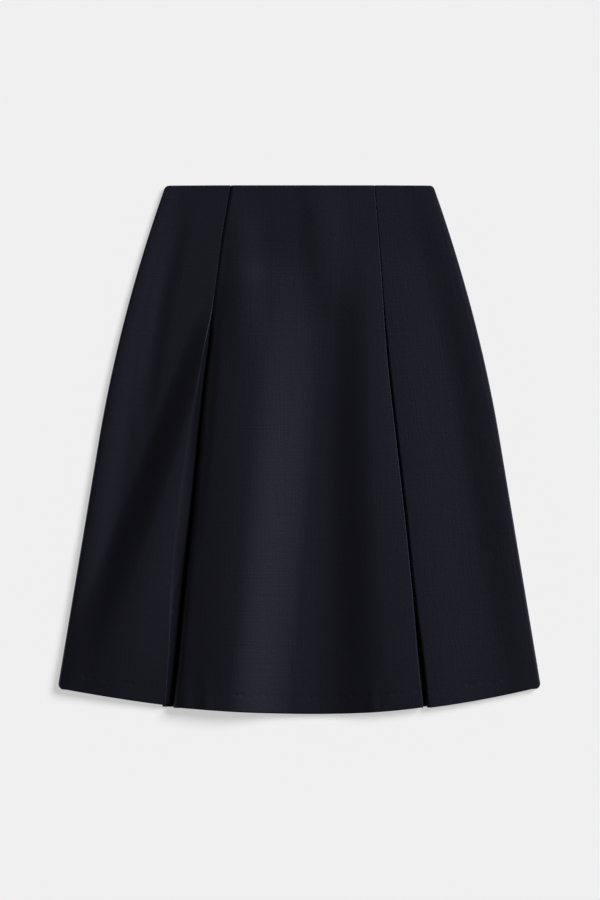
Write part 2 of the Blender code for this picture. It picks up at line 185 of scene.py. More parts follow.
FOLDS = (
    Fold("left", "side edge", (0, 672), (1, 6, 8), (0.5, 2.6, 1.4), (12, 12, 12), (22, 37, 30)),
    Fold("left", "hip trough", (10, 330), (34, 44, 56), (0, -0.9, -0.2), (16, 17, 18), (18, 18, 18)),
    Fold("left", "lifted pleat", (130, 672), (128, 94, 30), (0.4, 11.6, 1.2), (34, 51, 62), (200, 110, 110)),
    Fold("centre", "hip ridge", (6, 250), (-78, -75, -75), (0.5, 1.1, 0), (28, 30, 30), (33, 36, 38)),
    Fold("centre", "pleat dip", (90, 490), (-115, -138, -155), (0, -4.5, -1.3), (12, 12, 12), (26, 35, 32)),
    Fold("centre", "waist ridge", (0, 190), (20, 30, 44), (0.5, 0.9, 0), (28, 32, 34), (40, 44, 50)),
    Fold("centre", "main ridge", (70, 672), (-47, -68, -93), (0, 10, 13), (90, 165, 165), (90, 84, 84)),
    Fold("centre", "middle trough", (120, 672), (38, 32, 30), (0, -1.4, -2.0), (40, 50, 60), (50, 60, 60)),
    Fold("centre", "right ridge", (60, 672), (88, 95, 117), (0.2, 4.4, 4.6), (39, 58, 74), (60, 120, 200)),
    Fold("centre", "hem ripple", (590, 672), (-143, -144, -145), (0, 0.5, 0.9), (10, 10, 10), (12, 12, 12)),
    Fold("centre", "hem ripple", (600, 672), (-119, -119, -119), (0, 0.3, 0.6), (9, 9, 9), (12, 12, 12)),
    Fold("centre", "hem ripple", (600, 672), (92, 93, 94), (0, 0.3, 0.6), (12, 12, 12), (10, 10, 10)),
    Fold("right", "side edge", (0, 672), (6, 7, 8), (0.5, 1.8, 0.3), (38, 48, 40), (12, 12, 12)),
    Fold("right", "pleat edge", (60, 672), (88, 131, 150), (0.2, 2.8, 2.6), (50, 60, 60), (68, 96, 98)),
)

FOLD_FADE = 60 * MM

# The back's own creases lift it a little off the floor. They are measured across as in the centre.
BACK_FOLDS = (
    Fold("back", "seat crease", (90, 560), (-46, -58, -49), (0, 0.9, 0.2), (20, 24, 22), (22, 26, 24)),
    Fold("back", "seat crease", (150, 640), (52, 47, 60), (0, 0.8, 0.3), (22, 24, 26), (20, 24, 26)),
    Fold("back", "side crease", (110, 520), (-176, -208, -236), (0, 1.0, 0.2), (22, 30, 24), (20, 26, 24)),
    Fold("back", "side crease", (170, 600), (168, 203, 228), (0, 0.9, 0.3), (18, 26, 24), (24, 30, 26)),
    Fold("back", "hem crease", (430, 672), (-12, -20, -31), (0, 0.5, 1.0), (16, 24, 30), (16, 26, 34)),
    Fold("back", "hem crease", (400, 672), (92, 96, 88), (0, 0.4, 0.8), (16, 22, 28), (16, 24, 30)),
)

# The hem's hand sewing dimples the front in this stretch
DIMPLES_FROM = -280 * MM
DIMPLES_TO = 280 * MM
DIMPLES_UP = 21.5 * MM  # above the hem
DIMPLES_UNEVEN = 0.8 * MM
DIMPLE_SPACING = (6.5 * MM, 12 * MM)
DIMPLE_DEPTH = (0.05 * MM, 0.24 * MM)
DIMPLE_RADIUS = (1.1 * MM, 2.0 * MM)
DIMPLE_SEED = 11


def three(share, values):
    """The parabola through three values, at shares 0, 1/2 and 1."""
    first, middle, last = values
    return (
        first * (1 - share) * (1 - 2 * share)
        + middle * 4 * share * (1 - share)
        + last * share * (2 * share - 1)
    )


def read(down, stations, values, unit=MM):
    """A column of a pleat's table, in its unit, as a cubic through its stations with no kinks."""
    stations = np.asarray(stations) * MM
    values = np.asarray(values) * unit
    slopes = np.gradient(values, stations)
    before = np.clip(np.searchsorted(stations, down) - 1, 0, len(stations) - 2)
    span = stations[before + 1] - stations[before]
    t = np.clip((down - stations[before]) / span, 0, 1)
    start = values[before] * (1 + 2 * t) + slopes[before] * span * t
    end = values[before + 1] * (3 - 2 * t) + slopes[before + 1] * span * (t - 1)
    return start * (1 - t) ** 2 + end * t**2


def slit_of(pleat, down):
    """Where the middle of a pleat's slit lies across, and half its width."""
    half = np.maximum(read(down, pleat.down, pleat.slit), SEAM / 2)
    return read(down, pleat.down, pleat.line), half


def corner(away, radius):
    """How far a rounded corner draws the side edge in: a quarter circle."""
    return radius - np.sqrt(radius**2 - (radius - np.clip(away, 0, radius)) ** 2)


def half_width(down):
    """Half the garment's width: a straight flare, drawn in above the hip on a parabola."""
    hip = HIP_CURVE * np.clip(1 - down / HIP_LENGTH, 0, 1) ** 2
    return WAIST_HALF + HIP_CURVE + FLARE * down - hip


def side_edge(down, depth):
    """Half the garment's width, less its rounded corners at the waist and at the hem."""
    return half_width(down) - corner(down, WAIST_CORNER) - corner(depth - down, HEM_CORNER)


def hem_depth(hem, share, skew=0.0):
    """A hem's line across its panel: straight between its ends, plus a bow of 4 s (1 - s), which a
    skew k makes deeper towards the right by 1 + k (s - 1/2)."""
    first, last, bow = hem
    bowed = 4 * bow * share * (1 - share) * (1 + skew * (share - 0.5))
    return first + (last - first) * share + bowed


def row_shares():
    """The rows, from 0 at the waist to 1 at the hem, close together in the fine stretches."""
    top = np.linspace(0, WAIST_FINE, WAIST_ROWS, endpoint=False) / FRONT_LENGTH
    low = 1 - np.linspace(HEM_FINE, 0, HEM_ROWS) / FRONT_LENGTH
    middle = np.linspace(WAIST_FINE / FRONT_LENGTH, low[0], MIDDLE_ROWS, endpoint=False)
    return np.concatenate([top, middle, low])[:, None]


ROWS = row_shares()


def down_of(depth, rows=ROWS):
    """How far down each row lies, in a piece whose folded edges take up EDGE at either end."""
    return EDGE + rows * (depth - 2 * EDGE)


def fold_height(fold, across, down):
    """One fold: its height times a raised cosine of the distance from its crest over its reach.

    An end that lies inside the panel fades out over FOLD_FADE, on the smooth step s^2 (3 - 2 s).
    """
    start, end = (place * MM for place in fold.down)
    share = np.clip((down - start) / (end - start), 0, 1)
    inside = np.clip((down - start) / FOLD_FADE + (start <= 0), 0, 1)
    inside = inside * np.clip((end - down) / FOLD_FADE + (end >= FRONT_LENGTH), 0, 1)
    crest = three(share, fold.path) * MM
    if fold.panel == "left":
        crest = crest - half_width(down)
    elif fold.panel == "right":
        crest = half_width(down) - crest
    off = across - crest
    reach = np.where(off < 0, three(share, fold.reach_left), three(share, fold.reach_right)) * MM
    fade = 0.5 + 0.5 * np.cos(np.pi * np.clip(np.abs(off) / reach, 0, 1))
    return three(share, fold.height) * MM * fade * inside**2 * (3 - 2 * inside)


def front_height(panel, across, down):
    """The front's outer face: its level and the folds of that panel."""
    height = three(down / FRONT_LENGTH, LEVEL)
    for fold in FOLDS:
        if fold.panel == panel:
            height = height + fold_height(fold, across, down)
    return height


def lean(panel, across, down):
    """How steeply the front's outer face rises towards +X: its rise over LEAN_STEP, a unit."""
    ahead = front_height(panel, across + LEAN_STEP / 2, down)
    return (ahead - front_height(panel, across - LEAN_STEP / 2, down)) / LEAN_STEP


def along_pleat(down, values):
    """A value along the pleats, given at the waist, at the underlay's top and at the hem."""
    return np.interp(down, (0, UNDERLAY_TOP, FRONT_LENGTH), values)


class Stretch(NamedTuple):
    """A part of a piece's section: across, height and the hem's depth, rows by columns."""

    across: np.ndarray
    height: np.ndarray
    depth: np.ndarray

    def back_to_front(self):
        return Stretch(*(values[:, ::-1] for values in self))


def joined(*stretches):
    """The stretches side by side, each without the first column, which the one before it has."""
    kept = [stretches[0]] + [Stretch(*(v[:, 1:] for v in s)) for s in stretches[1:]]
    return Stretch(*(np.hstack(values) for values in zip(*kept)))


def side_roll(panel, depth, way):
    """A front's side edge, from its seam: an upright leg tucked in at the seam by a parabola, then
    a quarter of a superellipse, |x/a|^p + |z/b|^p = 1 with p from SIDE_POWER, up to the panel.
    way is 1 on the garment's left edge, -1 on its right.
    """
    down = down_of(depth)
    edge = -way * side_edge(down, depth)
    roll = three(ROWS, SIDE_ROLL)
    start = edge + way * roll
    top = front_height(panel, start, down)
    seam = three(ROWS, SIDE_SEAM_UP) + SEAM / 2
    bottom = seam + SEAM_LEG
    leg = np.linspace(0, 1, LEG_COLUMNS, endpoint=False)
    turn = np.linspace(0, np.pi / 2, ROLL_COLUMNS // 2 + 1)
    power = 2 / SIDE_POWER[panel]
    rolled = start - way * roll * np.clip(np.cos(turn), 0, 1) ** power
    across = np.hstack([edge + way * SEAM_TUCK * (1 - leg) ** 2, rolled])
    height = np.hstack([seam + SEAM_LEG * leg, bottom + (top - bottom) * np.sin(turn) ** power])
    return Stretch(across, height, np.full_like(across, depth))


def pleat_edge(panel, pleat, depth, way):
    """A pleat's folded edge, from the panel round to the end of its turned-under part.

    The roll goes from the panel's top out to a tip and back in to the return below. Above the tip
    it is a quarter of a superellipse, |x/a|^p + |z/b|^p = 1, with the table's power p, and below it
    a quarter of an ellipse. The tip is half way up, except on a left edge, where the table says.
    Unless the edge is a sharp crease, the roll sets out along the panel's own slope g: the share s
    of the way to the tip adds g x (1 - s)^2 to its height.
    way is 1 for the edge on the left of the slit, which points to +X, and -1 for the other.
    """
    down = down_of(depth)
    line, slit = slit_of(pleat, down)
    crease = line - way * slit
    left = way > 0
    roll = read(down, pleat.down, pleat.left_roll if left else pleat.right_roll)
    table_power = read(down, pleat.down, pleat.left_power if left else pleat.right_power, 1)
    power = 2 / table_power
    share = read(down, pleat.down, pleat.left_tip, 1) if left else np.full_like(down, 0.5)
    bottom = along_pleat(down, RETURN_UP)
    half = (front_height(panel, crease - way * roll, down) - bottom) / 2
    # An ellipse with half axes a and b bends at its ends with the radii a^2/b and b^2/a. Neither
    # may be less than this, so that the wall has room on the inside of the bend.
    tightest = CLOTH * (1 + down / FRONT_LENGTH) + ROLL_SLACK
    roll = np.clip(roll, np.sqrt(half * tightest), half**2 / tightest)
    start = crease - way * roll
    top = front_height(panel, start, down)
    tip = bottom + (top - bottom) * share
    turn = np.linspace(0, np.pi / 2, ROLL_COLUMNS // 2 + 1)
    foot = np.minimum(roll, 2 * (tip - bottom))
    gone = np.sin(turn) ** power
    slope = lean(panel, start, down) * np.clip(table_power - 1, 0, 1)
    rise = slope * way * roll * gone * (1 - gone) ** 2
    upper_height = tip + (top - tip) * np.clip(np.cos(turn), 0, 1) ** power + rise
    turn = turn[1:]
    lower = start + way * (roll - foot * (1 - np.cos(turn)))
    across = np.hstack([start + way * roll * gone, lower])
    height = np.hstack([upper_height, tip - (tip - bottom) * np.sin(turn)])
    start = start + way * (roll - foot)
    end = crease - way * np.maximum(along_pleat(down, RETURN_WIDTH), roll + PAST_ROLL)
    away = np.linspace(0, 1, ROLL_COLUMNS // 2)[1:]
    across = np.hstack([across, start + (end - start) * away])
    height = np.hstack([height, bottom + 0 * away])
    short = np.concatenate([np.zeros(across.shape[1] - len(away)), RETURN_SHORT * away])
    return Stretch(across, height, depth - short + 0 * across)


def panel_top(panel, left, right, hem, columns, skew=0.0):
    """The open part of a front panel, between the stretches at its two edges."""
    share = np.linspace(0, 1, columns + 1)
    across = left.across[:, -1:] * (1 - share) + right.across[:, :1] * share
    depth = hem_depth(hem, share, skew)[None, :] + 0 * across
    return Stretch(across, front_height(panel, across, down_of(depth)), depth)


def left_panel():
    """The left side front, from its side seam to the end of its turned-under pleat edge."""
    side = side_roll("left", LEFT_HEM[0], 1)
    pleat = pleat_edge("left", LEFT_PLEAT, LEFT_HEM[1], 1)
    return joined(side, panel_top("left", side, pleat, LEFT_HEM, SIDE_COLUMNS), pleat)


def centre_panel():
    """The centre front, between the ends of its two turned-under pleat edges."""
    left = pleat_edge("centre", LEFT_PLEAT, CENTRE_HEM[0], -1).back_to_front()
    right = pleat_edge("centre", RIGHT_PLEAT, CENTRE_HEM[1], 1)
    top = panel_top("centre", left, right, CENTRE_HEM, CENTRE_COLUMNS, CENTRE_HEM_SKEW)
    return joined(left, top, right)


def right_panel():
    """The right side front, from the end of its turned-under pleat edge to its side seam."""
    pleat = pleat_edge("right", RIGHT_PLEAT, RIGHT_HEM[0], -1).back_to_front()
    side = side_roll("right", RIGHT_HEM[1], -1).back_to_front()
    return joined(pleat, panel_top("right", pleat, side, RIGHT_HEM, SIDE_COLUMNS), side)


def back_panel(way):
    """Half of the back, flat on the floor. Its side edge turns up to the seam on a quarter of an
    ellipse. way is 1 for the half on the +X side, and its columns run so that it faces down.
    """
    side_depth, centre_depth = BACK_HEM
    edge = side_edge(down_of(side_depth), side_depth)
    seam = three(ROWS, SIDE_SEAM_UP) - SEAM / 2
    leg = np.linspace(0, 1, LEG_COLUMNS, endpoint=False)
    turn = np.linspace(0, np.pi / 2, ROLL_COLUMNS // 2 + 1)
    roll_across = np.hstack(
        [edge - SEAM_TUCK * (1 - leg) ** 2, edge - BACK_ROLL + BACK_ROLL * np.cos(turn)]
    )
    roll_height = np.hstack([seam - SEAM_LEG * leg, (seam - SEAM_LEG) * (1 - np.sin(turn))])
    share = np.linspace(0, 1, BACK_COLUMNS + 1)[1:]
    flat_across = (edge - BACK_ROLL) * (1 - share) + SEAM / 2 * share
    flat_depth = side_depth + (centre_depth - side_depth) * (1 - (1 - share) ** 2)
    half = Stretch(
        np.hstack([roll_across, flat_across]),
        np.hstack([roll_height, 0 * flat_across]),
        np.hstack([np.full_like(roll_across, side_depth), flat_depth + 0 * flat_across]),
    )
    if way < 0:
        half = half.back_to_front()
        half = half._replace(across=-half.across)
    down = down_of(half.depth)
    folds = sum(fold_height(fold, half.across, down) for fold in BACK_FOLDS)
    return half._replace(height=half.height + folds)


def underlay(pleat, hem):
    """The strip behind a pleat's slit, from past one turned-under edge to past the other.

    Its hem is read from a short table of places across it, each a share of the way out to the
    strip's edge, and its rows start at UNDERLAY_TOP.
    """
    places = np.arange(len(hem))
    at = np.unique(np.concatenate([np.linspace(a, a + 1, UNDERLAY_COLUMNS) for a in places[:-1]]))
    depth = np.interp(at, places, hem)[None, :]
    down = UNDERLAY_TOP + EDGE + ROWS * (depth - UNDERLAY_TOP - 2 * EDGE)
    line, slit = slit_of(pleat, down)
    inner = slit + UNDERLAY_CORNER
    reach = slit + along_pleat(down, RETURN_WIDTH) + UNDERLAY_PAST
    stops = np.stack([-reach, -inner - CORNER_STEP, -inner, 0 * slit, inner, reach])
    low = np.minimum(at.astype(int), len(hem) - 2)
    part = at - low
    column = np.arange(len(at))
    offset = stops[low, :, column].T * (1 - part) + stops[low + 1, :, column].T * part
    height = np.interp(down, (UNDERLAY_TOP, FRONT_LENGTH), UNDERLAY_UP)
    return line + offset, height, down


def dimples(across, down, depth):
    """The hem's hand stitches: bell-shaped pits, exp(-d^2/2r^2), in an uneven row above the hem."""
    uneven = np.random.default_rng(DIMPLE_SEED)
    count = round((DIMPLES_TO - DIMPLES_FROM) / np.mean(DIMPLE_SPACING))
    steps = uneven.uniform(*DIMPLE_SPACING, count)
    middles = DIMPLES_FROM + np.cumsum(steps) * (DIMPLES_TO - DIMPLES_FROM) / steps.sum()
    depths = uneven.uniform(*DIMPLE_DEPTH, count)
    radii = uneven.uniform(*DIMPLE_RADIUS, count)
    above = DIMPLES_UP + uneven.normal(0, DIMPLES_UNEVEN, count)
    pits = np.zeros_like(across)
    for middle, deep, radius, up in zip(middles, depths, radii, above):
        squared = (across - middle) ** 2 + (depth - down - up) ** 2
        pits += deep * np.exp(-squared / (2 * radius**2))
    return pits


def outward(points):
    """The grid's normals: the cross product of its slopes along columns and rows, evened out a
    little across the columns so that a wall on the inside of a tight bend doesn't cross itself."""
    along = np.gradient(points, axis=0)
    beside = np.gradient(points, axis=1)
    normal = np.cross(along, beside)
    normal /= np.linalg.norm(normal, axis=2, keepdims=True)
    for _ in range(NORMAL_PASSES):
        padded = np.concatenate([normal[:, :1], normal, normal[:, -1:]], axis=1)
        normal = (padded[:, :-2] + 2 * normal + padded[:, 2:]) / 4
        normal /= np.linalg.norm(normal, axis=2, keepdims=True)
    return normal


def folded_wall(points, from_waist, from_hem):
    """The closed wall of a piece, as a loop of rows: outer face, round the hem's fold, inner face
    and round the waist's fold. Each fold is a half circle of radius EDGE, and the wall is FOLDED
    thick in the layers that are turned in, CLOTH elsewhere.
    """
    normal = outward(points)
    turned = np.maximum(from_waist < WAIST_TURNED, from_hem < TURN_UP)[..., None]
    inner = points - normal * np.where(turned, FOLDED, CLOTH)
    turn = np.linspace(0, np.pi, EDGE_STEPS + 1)[1:-1, None, None]
    hem_way = points[-1] - points[-2]
    hem_way /= np.linalg.norm(hem_way, axis=1, keepdims=True)
    hem_fold = points[-1] + EDGE * (hem_way * np.sin(turn) - normal[-1] * (1 - np.cos(turn)))
    waist_way = points[0] - points[1]
    waist_way /= np.linalg.norm(waist_way, axis=1, keepdims=True)
    waist_fold = points[0] + EDGE * (waist_way * np.sin(turn) - normal[0] * (1 - np.cos(turn)))
    return np.concatenate([points, hem_fold, inner[::-1], waist_fold[::-1]])


def weave_places(points, down):
    """Where each point lies in its piece before sewing, in metres: the length along its row from
    the piece's middle column, and the distance down."""
    steps = np.linalg.norm(np.diff(points, axis=1), axis=2)
    along = np.concatenate([np.zeros((len(points), 1)), np.cumsum(steps, axis=1)], axis=1)
    along -= along[:, along.shape[1] // 2][:, None]
    return np.stack([along, down], axis=-1)


def ladder(ring):
    """The faces that close the end of a wall, from its outer to its inner face: quads between each
    point of the ring and the one across, and a triangle at the middle of either fold."""
    ring = np.roll(ring, EDGE_STEPS // 2)
    outer = ring[1 : len(ring) // 2]
    inner = ring[: len(ring) // 2 : -1]
    quads = np.stack([outer[:-1], outer[1:], inner[1:], inner[:-1]], axis=-1).tolist()
    far = len(ring) // 2
    return quads + [[ring[0], ring[1], ring[-1]], ring[far - 1 : far + 2].tolist()]


def woven_mesh(name, loop, weave, finish, ends="flat"):
    """A mesh from closed loops of points, loops by columns, with quads round it, and where each
    point lies in the weave as its UV map. ends says what closes it: a "flat" face at either end, a
    "wall" of small faces, or nothing in a "ring", whose last column is joined to its first."""
    count, columns = loop.shape[:2]
    index = np.arange(count * columns).reshape(count, columns)
    if ends == "ring":
        index = np.hstack([index, index[:, :1]])
    after = np.roll(index, -1, axis=0)
    quads = np.stack([index[:, :-1], after[:, :-1], after[:, 1:], index[:, 1:]], axis=-1)
    faces = quads.reshape(-1, 4).tolist()
    if ends == "wall":
        faces += [face[::-1] for face in ladder(index[:, 0])] + ladder(index[:, -1])
    elif ends == "flat":
        faces += [index[::-1, 0].tolist(), index[:, -1].tolist()]
    mesh = bpy.data.meshes.new(name)
    mesh.from_pydata(loop.reshape(-1, 3).tolist(), [], faces)
    corners = np.empty(len(mesh.loops), int)
    mesh.loops.foreach_get("vertex_index", corners)
    layer = mesh.uv_layers.new(name="weave")
    layer.data.foreach_set("uv", weave.reshape(-1, 2)[corners].astype(np.float32).ravel())
    mesh.shade_smooth()
    mesh.set_sharp_from_angle(angle=SHARP_ABOVE)
    mesh.materials.append(finish)
    piece = bpy.data.objects.new(name, mesh)
    bpy.context.scene.collection.objects.link(piece)
    return piece


def cloth_piece(name, across, height, down, from_hem, finish):
    """One piece of cloth from its section, riding on the body and standing for its solid."""
    points = np.stack([across, WAIST_Y - down, height], axis=-1)
    loop = folded_wall(points, down - down[:1], from_hem)
    weave = weave_places(points, down)
    ends = weave[-1:], weave[:1]
    hem_fold, waist_fold = (np.repeat(end, EDGE_STEPS - 1, axis=0) for end in ends)
    weave = np.concatenate([weave, hem_fold, weave[::-1], waist_fold])
    piece = woven_mesh(name + "_cloth", loop, weave, finish, ends="wall")
    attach(piece, "root")
    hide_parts(name)
    return piece


def front_piece(name, section, finish):
    """A front panel, with the dimples of its hem's sewing."""
    down = down_of(section.depth)
    height = section.height - dimples(section.across, down, section.depth)
    return cloth_piece(name, section.across, height, down, section.depth - down, finish)


def socket(tree, node, name, value):
    """Sets a node's input to a value, or links it to another node's output."""
    if isinstance(value, bpy.types.NodeSocket):
        tree.links.new(value, node.inputs[name])
    else:
        node.inputs[name].default_value = value


def added(tree, kind, settings=(), **inputs):
    """A new shader node with its settings and inputs; an input's name has _ for a space."""
    node = tree.nodes.new(kind)
    for name, value in dict(settings).items():
        setattr(node, name, value)
    for name, value in inputs.items():
        socket(tree, node, name.replace("_", " "), value)
    return node


def maths(tree, operation, first, second=0.0):
    """A sum, a product or a sine of shader values, by Blender's name for the operation."""
    node = tree.nodes.new("ShaderNodeMath")
    node.operation = operation
    socket(tree, node, 0, first)
    socket(tree, node, 1, second)
    return node.outputs[0]


def wave(tree, place, pitch):
    """The sine of a place, with a crest every pitch."""
    return maths(tree, "SINE", maths(tree, "MULTIPLY", place, 2 * math.pi / pitch))


def noise(tree, place, scale, detail, roughness=0.5):
    """Clouds of noise from 0 to 1, scale of them to a metre."""
    kind = "ShaderNodeTexNoise"
    clouds = added(tree, kind, Vector=place, Scale=scale, Detail=detail, Roughness=roughness)
    return clouds.outputs["Fac"]


def bump(tree, height, distance, normal=None):
    """The normal of a surface raised by height times distance, over the one it is given."""
    raised = added(tree, "ShaderNodeBump", Height=height, Strength=1.0, Distance=distance)
    if normal is not None:
        tree.links.new(normal, raised.inputs["Normal"])
    return raised.outputs["Normal"]


def between(tree, share, first, second):
    """The colour that lies a share of the way from the first to the second."""
    mix = added(tree, "ShaderNodeMix", {"data_type": "RGBA"})
    socket(tree, mix, 0, share)
    # A colour mix has its two colours in the sockets 6 and 7
    socket(tree, mix, 6, first)
    socket(tree, mix, 7, second)
    return mix.outputs[2]


TWILL_PITCH = 1.5 * MM  # between two of the weave's slanting ribs
TWILL_HEIGHT = 0.010 * MM
YARN_PITCH = 0.55 * MM
YARN_SHARE = 0.4  # a yarn's height over a rib's
NAP_SIZE = 1.6 * MM
NAP_HEIGHT = 0.03 * MM
NAP_GRAIN = (4, 0.6)  # its noise's detail and roughness
SLUB_WIDTH = 2.4 * MM
SLUB_STRETCH = 30  # a slub's length over its width
SLUB_HEIGHTS = (0.09 * MM, 0.07 * MM)  # of the slubs down the cloth and of those across it
FELT_SIZE = 5.5 * MM
FELT_HEIGHT = 0.07 * MM
FELT_GRAIN = (3, 0.5)
DYE_CLOUDS = 22  # to a metre
DYE_GRAIN = (5, 0.55)
WOOL_DARK = (0.0022, 0.0022, 0.0022, 1)
WOOL_LIGHT = (0.0038, 0.0038, 0.0038, 1)
WOOL_ROUGHNESS = 0.5
WOOL_SPECULAR = 0.43
WOOL_SPECULAR_TINT = (0.66, 0.67, 1.0, 1)
WOOL_SHEEN = 0.10
WOOL_SHEEN_ROUGHNESS = 0.45
WOOL_SHEEN_TINT = (0.42, 0.46, 0.70, 1)


def wool_cloth():
    """Brushed wool twill: slanting ribs, nap, felting and slubs along and across as bump, and
    uneven navy dye as colour."""
    made = bpy.data.materials.new("navy wool twill")
    made.use_nodes = True
    tree = made.node_tree
    shader = tree.nodes["Principled BSDF"]
    weave = added(tree, "ShaderNodeUVMap", {"uv_map": "weave"}).outputs["UV"]
    split = added(tree, "ShaderNodeSeparateXYZ", Vector=weave)
    slant = maths(tree, "ADD", split.outputs["X"], split.outputs["Y"])
    yarns = maths(tree, "MULTIPLY", wave(tree, split.outputs["X"], YARN_PITCH), YARN_SHARE)
    ribs = maths(tree, "ADD", wave(tree, slant, TWILL_PITCH), yarns)
    nap = noise(tree, weave, 1 / NAP_SIZE, *NAP_GRAIN)
    felt = noise(tree, weave, 1 / FELT_SIZE, *FELT_GRAIN)
    normal = bump(tree, ribs, TWILL_HEIGHT)
    normal = bump(tree, nap, NAP_HEIGHT, normal)
    normal = bump(tree, felt, FELT_HEIGHT, normal)
    squeezes = (1, 1 / SLUB_STRETCH, 1), (1 / SLUB_STRETCH, 1, 1)
    for squeeze, height in zip(squeezes, SLUB_HEIGHTS):
        place = added(tree, "ShaderNodeMapping", Vector=weave, Scale=squeeze).outputs["Vector"]
        normal = bump(tree, noise(tree, place, 1 / SLUB_WIDTH, 2), height, normal)
    dye = noise(tree, weave, DYE_CLOUDS, *DYE_GRAIN)
    halves = (maths(tree, "MULTIPLY", clouds, 0.5) for clouds in (nap, dye))
    colour = between(tree, maths(tree, "ADD", *halves), WOOL_DARK, WOOL_LIGHT)
    tree.links.new(colour, shader.inputs["Base Color"])
    tree.links.new(normal, shader.inputs["Normal"])
    shader.inputs["Roughness"].default_value = WOOL_ROUGHNESS
    shader.inputs["Specular IOR Level"].default_value = WOOL_SPECULAR
    shader.inputs["Specular Tint"].default_value = WOOL_SPECULAR_TINT
    shader.inputs["Sheen Weight"].default_value = WOOL_SHEEN
    shader.inputs["Sheen Roughness"].default_value = WOOL_SHEEN_ROUGHNESS
    shader.inputs["Sheen Tint"].default_value = WOOL_SHEEN_TINT
    return made


ZIP_CLOUDS = 90  # to a metre
ZIP_SHADES = (0.7, 1.3)  # the darkest and the lightest shade of a zip part, over its colour


def zip_finish(name, colour, roughness, pitch, height):
    """A zip part: fine crossing ribs of a given pitch as bump, and a slightly uneven colour."""
    made = bpy.data.materials.new(name)
    made.use_nodes = True
    tree = made.node_tree
    shader = tree.nodes["Principled BSDF"]
    place = added(tree, "ShaderNodeUVMap", {"uv_map": "weave"}).outputs["UV"]
    split = added(tree, "ShaderNodeSeparateXYZ", Vector=place)
    waves = (wave(tree, split.outputs[axis], pitch) for axis in "XY")
    normal = bump(tree, maths(tree, "MULTIPLY", *waves), height)
    dark, light = ((*(shade * c for c in colour), 1) for shade in ZIP_SHADES)
    shaded = between(tree, noise(tree, place, ZIP_CLOUDS, 4), dark, light)
    tree.links.new(shaded, shader.inputs["Base Color"])
    tree.links.new(normal, shader.inputs["Normal"])
    shader.inputs["Roughness"].default_value = roughness
    return made


WOOL = wool_cloth()
TAPE_CLOTH = zip_finish("woven zip tape", (0.009, 0.009, 0.013), 0.75, 0.8 * MM, 0.04 * MM)
COIL_NYLON = zip_finish("nylon coil", (0.008, 0.008, 0.012), 0.35, 0.5 * MM, 0.004 * MM)
PULL_METAL = zip_finish("painted metal pull", (0.010, 0.010, 0.015), 0.3, 0.6 * MM, 0.003 * MM)

# The zip behind the centre back seam, closed, with its tape on the inside of the back
ZIP_LENGTH = 190 * MM
ZIP_TOP = WAIST_Y - 6 * MM
ZIP_UNDER = CLOTH + SEAM
TAPE_HALF = 12 * MM
TAPE = 0.6 * MM
TAPE_TOP = ZIP_UNDER + TAPE
TAPE_GAP = 0.25 * MM  # between the middle and either tape's edge
TAPE_POWERS = (0.5, 0.35)  # square off a tape's section across and up
TAPE_COLUMNS = 60
TAPE_AROUND = 34
CORD_OFF = 3.2 * MM  # from the middle to the cord in either tape's edge
CORD_WIDTH = 0.7 * MM
CORD_RISE = 0.25 * MM
COIL_PITCH = 1.2 * MM
COIL_REACH = 1.25 * MM
COIL_OFF = 0.5 * MM  # from the middle to a coil's own middle
COIL_RISE = 0.27 * MM
COIL_WIRE = 0.27 * MM
COIL_POINTS = 8  # a turn
COIL_MIDDLE = TAPE_TOP + COIL_RISE + COIL_WIRE
STITCH = 2.6 * MM
STITCH_FROM_EDGE = 2.5 * MM
STITCH_RISE = 0.14 * MM
STITCH_POINTS = 8
THREAD = 0.13 * MM
WIRE_SIDES = 6
SLIDER = (5.4 * MM, 9 * MM)
SLIDER_POWER = 3.2  # of its superellipse
SLIDER_NARROW = 0.3  # how much narrower it is at its lower end, as a share
SLIDER_DOWN = 7.5 * MM  # from the top of the zip to the middle of the slider
SLIDER_TOP = 3.55 * MM
BRIDGE_HALF = 2.6 * MM  # half its length
BRIDGE_RISE = 0.75 * MM
BRIDGE_SUNK = 0.2 * MM  # how far its feet start below the slider's top
BRIDGE_WIRE = 0.3 * MM
BRIDGE_POINTS = 17
BRIDGE_SIDES = 8
TAB = (3.6 * MM, 16 * MM)
TAB_DOWN = 16.5 * MM
TAB_THICK = 0.5 * MM
TAB_BEVEL = 0.12 * MM
TAB_BEVEL_AT = (0.06, 0.9)  # shares of the way from the outline to the hole
TAB_HOLE = (0.42 * TAB[0], 5 * MM)
TAB_HOLE_UP = 4.2 * MM  # from the tab's middle
TAB_RISES_FROM = 15 * MM  # below the zip's top, and over TAB_RISES_OVER it climbs on to the slider
TAB_RISES_OVER = 6 * MM
TAB_CLEAR = 0.05 * MM  # between the tab and the slider
TAB_POINTS = 64
STOP = (4.8 * MM, 3 * MM)

# Rings of the slider and of the bottom stop: the share of the outline's size, and the height
SLIDER_RINGS = (
    (0.86, TAPE_TOP), (0.96, TAPE_TOP + 0.1 * MM), (1, TAPE_TOP + 0.35 * MM),
    (1, SLIDER_TOP - 0.5 * MM), (0.97, SLIDER_TOP - 0.2 * MM), (0.88, SLIDER_TOP - 0.04 * MM),
    (0.6, SLIDER_TOP),
)
STOP_RINGS = (
    (0.9, TAPE_TOP), (1, TAPE_TOP + 0.2 * MM), (1, TAPE_TOP + 0.8 * MM),
    (0.9, TAPE_TOP + 1.0 * MM), (0.6, TAPE_TOP + 1.05 * MM),
)


